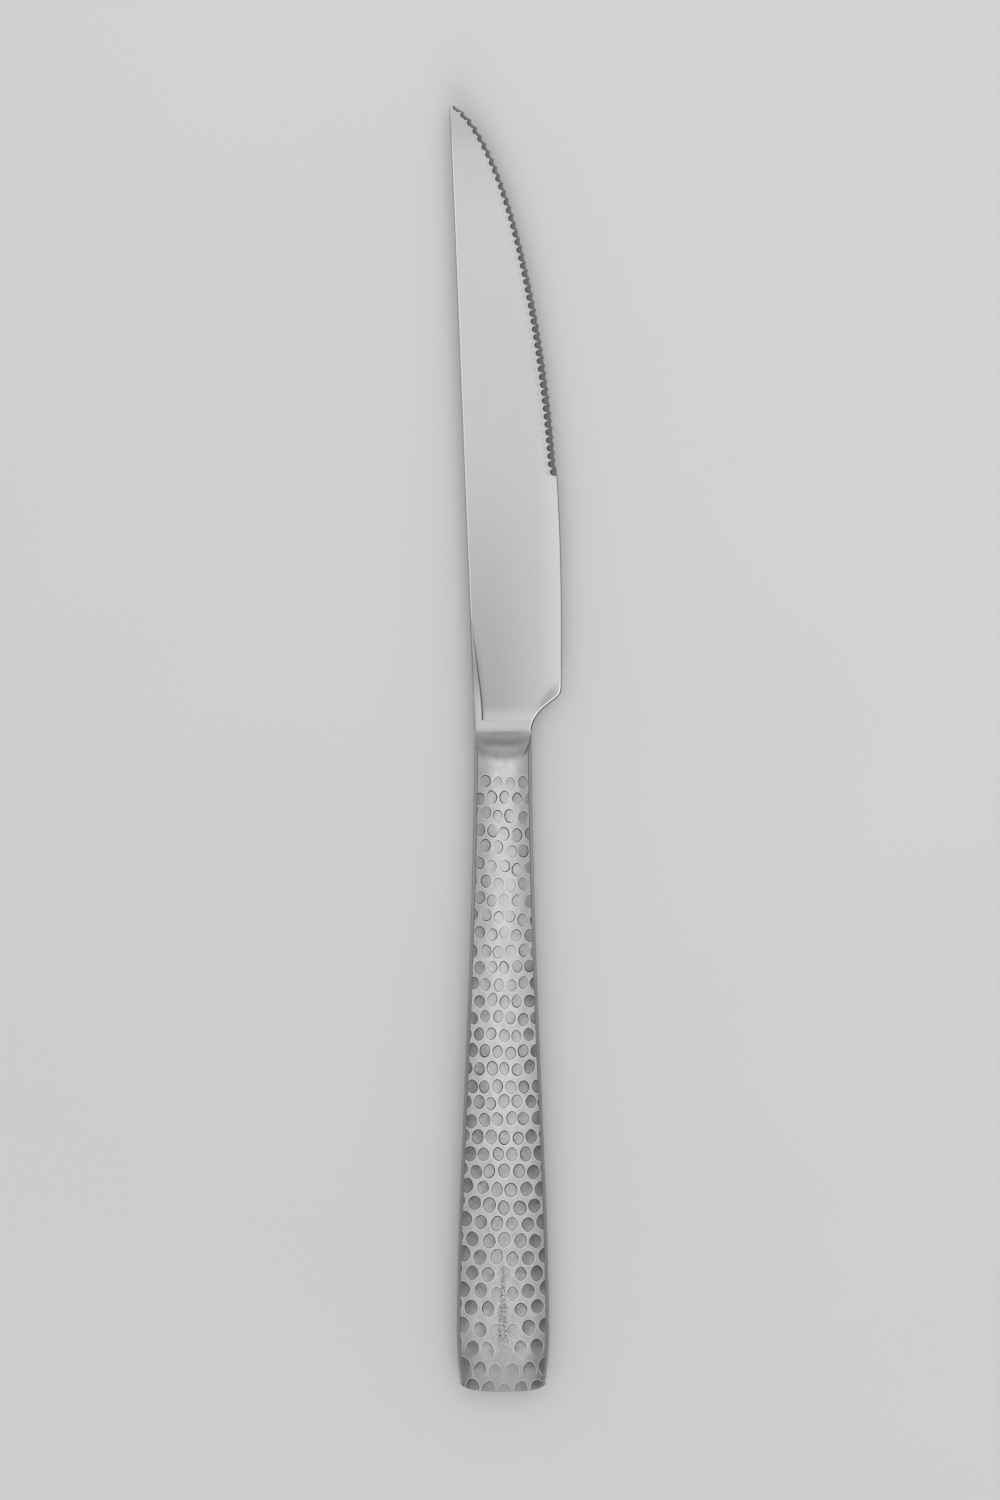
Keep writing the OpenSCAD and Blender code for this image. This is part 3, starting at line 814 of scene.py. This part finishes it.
def hammered_steel():
    """Satin lands between dimples in painted shade, with ground bands and a ground ramp carrying painted shade
    and highlight, and a worn crest.
    """
    material, tree = finish("hammered_steel")
    into, floor, rim, ridge, ground = marked(tree, "into", "floor", "rim", "ridge", "ground")
    across, behind = about_axis(tree)
    aside = across.size()

    # Lands are blotched, darker along the crest towards the butt, and in painted shade down the sides
    specks = grain(tree, (4, 4, 4), 3, 0.65)
    patches = grain(tree, (0.7, 0.4, 0.7), 2).eased(0.3, 0.7)
    smudges = grain(tree, (1.5, 1.1, 1.5), 3, 0.6).eased(0.3, 0.7)
    land = mixed(tree, 0.3 * specks + 0.45 * patches + 0.25 * smudges, *LAND_TONES)
    crest_darkening = 0.19 * behind.eased(60, 100) * (1 - 0.9 * aside.eased(1.8, 5.5))
    neck_side_shade = 0.14 * (1 - behind.eased(20, 55)) * aside.eased(1.2, 4.2)
    butt_side_shade = 0.34 * behind.eased(108, 117) * aside.eased(2.0, 6.0) + 0.2 * aside.eased(5.0, 7.3)
    land = darkened(tree, crest_darkening + neck_side_shade + butt_side_shade, land)

    # Dimples have pocked floors in painted shade, darker towards the sides and the edge's side, a painted
    # highlight on their lip and a painted shadow line inside it
    pocks = grain(tree, (2.1, 2.1, 2.1), 3, 0.7).eased(0.32, 0.68)
    sunk = mixed(tree, 0.35 * specks.eased(0.25, 0.75) + 0.65 * pocks, *FLOOR_SHADE_TONES)
    sunk = darkened(tree, 0.3 * aside.eased(3.0, 6.5) + 0.14 * across.eased(2.5, 6.0), sunk)
    lip = rim.eased(0.0, 0.35) * into.eased(0.0, 0.3) * (1 - into.eased(0.36, 0.56))
    line = rim * into.eased(0.34, 0.54) * (1 - into.eased(0.76, 1.0))
    struck = mixed(tree, floor * into.eased(0.5, 0.8), land, sunk)
    struck = mixed(tree, 0.85 * lip, struck, LIP_HIGHLIGHT_TONE)
    struck = mixed(tree, 0.95 * line, struck, RIM_SHADE_TONE)

    # The ramp shows fine scratches under painted shade, most at its bend and its foot, and ends in a painted
    # shadow along a crease on the edge's side
    scratches_and_painted_shade = mixed(tree, grain(tree, (0.6, 9, 0.6), 2), *SCRATCH_AND_SHADE_TONES)
    ramp = 1 - (behind + 0.07 * across * across).eased(4.6, 6.2)
    bend = 1 - (behind + 0.04 * across * across - 2.1).size().eased(0.2, 0.9)
    foot = 1 - (behind + 0.06 * across * across - 4.4).size().eased(0.2, 0.8)
    ramp = ramp * (0.56 + 0.19 * bend + 0.1 * foot - 0.1 * across.eased(1.5, 4.5))
    painted_crease_shadow = 1 - (across - 5.16 + 0.072 * behind * behind).size().eased(0.05, 0.26)
    painted_crease_shadow = painted_crease_shadow * behind.eased(0.2, 1.0) * (1 - behind.eased(3.6, 4.8))
    struck = mixed(tree, ramp, struck, scratches_and_painted_shade)
    struck = mixed(tree, 0.8 * painted_crease_shadow, struck, CREASE_SHADE_TONE)

    # So do the bands, in painted shade that is darkest at the seam and with a painted highlight along their
    # ridge, most of all near the neck
    bands = mixed(tree, 0.6 * (1 - ridge.eased(0.0, 0.4)), scratches_and_painted_shade, SEAM_SHADE_TONE)
    bright = 0.6 * ridge.eased(0.3, 0.8) * (1 - 0.7 * behind.eased(20, 60))
    bands = mixed(tree, bright, bands, RIDGE_HIGHLIGHT_TONE)
    colour = mixed(tree, ground, struck, bands)

    # Pits line the crest where the butt wears on the table
    reach = 0.1 + 0.055 * (behind - 95)
    strip = (reach - aside).eased(-0.25, 0.25) * behind.eased(93, 99) * (1 - behind.eased(110.5, 113))
    pits = grain(tree, (4.0, 4.0, 4.0), 1).eased(0.49, 0.54) * strip
    colour = mixed(tree, 0.75 * pits, colour, PIT_TONE)
    surfaced(tree, {"Base Color": colour, "Metallic": 1.0, "Normal": bumped(tree, 0.1, 0.00005, specks),
                    "Roughness": 0.42 - 0.14 * floor * into - 0.1 * ground + 0.06 * specks})
    return material


def silver_braze():
    material, tree = finish("silver_braze")
    specks = grain(tree, (6, 6, 6))
    surfaced(tree, {"Base Color": mixed(tree, specks, *BRAZE_TONES), "Metallic": 1.0,
                    "Roughness": 0.35 + 0.15 * specks})
    return material


def filler_cement():
    material, tree = finish("filler_cement")
    specks = grain(tree, (2, 2, 2), 4, 0.6)
    surfaced(tree, {"Base Color": mixed(tree, specks, *CEMENT_TONES), "Roughness": 0.9})
    return material


def pale_table():
    """Matte, with painted light that brightens it a little beyond the tip and on the edge's side."""
    material, tree = finish("pale_table")
    specks = grain(tree, (0.02, 0.02, 0.02), 1)
    across, behind = about_axis(tree)
    blotches_and_painted_light = 0.35 + 0.3 * specks + 0.0024 * across - 0.0042 * behind
    surfaced(tree, {"Base Color": mixed(tree, blotches_and_painted_light, *TABLE_TONES), "Roughness": 0.8,
                    "Specular IOR Level": 0.2})
    return material


# Pieces

DOUBLED, SHARP_DEGREES = 0.001, 20


def placed(name, data, location=(0, 0, 0)):
    """An object in the scene, from its mesh, lamp or camera."""
    thing = bpy.data.objects.new(name, data)
    thing.location = location
    bpy.context.scene.collection.objects.link(thing)
    return thing


def meshed(bm, name, material):
    mesh = bpy.data.meshes.new(name)
    bm.to_mesh(mesh)
    bm.free()
    mesh.materials.append(material)
    return mesh


def piece(bm, name, node, material):
    """Closes a piece, faces it outwards, and puts it in the frame in place of a node."""
    bmesh.ops.remove_doubles(bm, verts=bm.verts, dist=DOUBLED)
    bmesh.ops.recalc_face_normals(bm, faces=bm.faces)
    if bm.calc_volume(signed=True) < 0:
        bmesh.ops.reverse_faces(bm, faces=bm.faces)
    bmesh.ops.translate(bm, verts=bm.verts, vec=(AXIS_X, MOUTH_Y, MIDDLE_Z))
    bmesh.ops.scale(bm, verts=bm.verts, vec=[1 / MM_PER_M] * 3)
    mesh = meshed(bm, name, material)
    mesh.shade_smooth()
    mesh.set_sharp_from_angle(angle=math.radians(SHARP_DEGREES))
    made_piece = placed(name, mesh)
    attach(made_piece, "root")
    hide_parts(node)


handle_finish = hammered_steel()
piece(forge_blade(), "ground_blade", "blade", brushed_blade())
piece(hammer_shell(1, 4), "hammered_upper", "handle_shell_upper", handle_finish)
piece(hammer_shell(-1, 9), "hammered_lower", "handle_shell_lower", handle_finish)

braze = silver_braze()
for node, material in (("seam_braze", braze), ("neck_solder", braze), ("handle_cement", filler_cement())):
    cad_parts[node].data.materials.clear()
    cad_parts[node].data.materials.append(material)


# Table, light and camera, in metres

TABLE_HALF = 6
CAMERA_X, CAMERA_Y, CAMERA_HEIGHT = -0.00097, -0.00038, 1.2
FRAME_HEIGHT, SENSOR_HEIGHT = 0.2743, 36

# Brightness of the studio from the horizon up to a soft box overhead, on its dim and its bright side, and how
# much less the box shows where the camera stands before it
SOFT_BOX = (0.35, 0.5), (0.6, 0.5), (0.8, 0.58), (0.88, 0.74), (0.945, 1.0)
DIM_SIDE = ((0.0, 0.5), (0.2, 0.48)) + SOFT_BOX
BRIGHT_SIDE = ((0.0, 1.0), (0.1, 0.95), (0.2, 0.6)) + SOFT_BOX
CAMERA_SHADE = (0.0, 0.35), (0.08, 0.5), (0.19, 0.75), (0.37, 0.9), (0.92, 1.0)
CAMERA_SPREAD, BOX_BREADTH = 80, (0.9, 1, 1)


def lay_table():
    bm = bmesh.new()
    bmesh.ops.create_grid(bm, x_segments=1, y_segments=1, size=TABLE_HALF)
    table = placed("table", meshed(bm, "table", pale_table()))


def light_studio():
    world = bpy.data.worlds.new("studio")
    bpy.context.scene.world = world
    tree = emptied(world)
    direction = made(tree, "ShaderNodeTexCoord", out=0)

    def towards(ray, *place):
        return turned(tree, "DOT_PRODUCT", ray, Vector(place).normalized(), out=1)

    def graded(value, stops):
        return made(tree, "ShaderNodeValToRGB", {"stops": stops}, {0: value})

    broad = turned(tree, "NORMALIZE", turned(tree, "MULTIPLY", direction, BOX_BREADTH))
    up = towards(broad, 0.03, 0.1, 1)
    bright = towards(direction, -0.86, -0.5, 0).eased(-0.5, 0.5)
    sides = mixed(tree, bright, graded(up, DIM_SIDE), graded(up, BRIGHT_SIDE))
    camera_shade = graded((1 - towards(direction, 0, 0, 1)) * CAMERA_SPREAD, CAMERA_SHADE)
    shaded = mixed(tree, 1.0, sides, camera_shade, "MULTIPLY")
    sky = made(tree, "ShaderNodeBackground", None, {0: shaded, 1: 1.0})
    made(tree, "ShaderNodeOutputWorld", None, {0: sky})


def hang_lamp(name, size, energy, location):
    """A round soft lamp that faces the knife and isn't mirrored in it."""
    light = bpy.data.lights.new(name, "AREA")
    light.shape = "DISK"
    light.size = size
    light.energy = energy
    lamp = placed(name, light, location)
    lamp.rotation_euler = (-lamp.location).to_track_quat("-Z", "Y").to_euler()
    lamp.visible_glossy = False


def set_camera():
    """Straight above, so that the frame is FRAME_HEIGHT high at the middle of the knife's thickness."""
    lens = bpy.data.cameras.new("camera")
    lens.sensor_fit = "VERTICAL"
    lens.sensor_height = SENSOR_HEIGHT
    lens.lens = SENSOR_HEIGHT * CAMERA_HEIGHT / FRAME_HEIGHT
    lens.clip_start = 0.01
    camera = placed("camera", lens, (CAMERA_X, CAMERA_Y, CAMERA_HEIGHT + MIDDLE_Z / MM_PER_M))
    bpy.context.scene.camera = camera


lay_table()
light_studio()
hang_lamp("overhead", 0.9, 0.9, (0.15, 0.2, 1.1))
hang_lamp("fill", 2.0, 22.0, (0.1, -2.2, 1.3))
set_camera()
bpy.context.scene.view_settings.view_transform = "Standard"
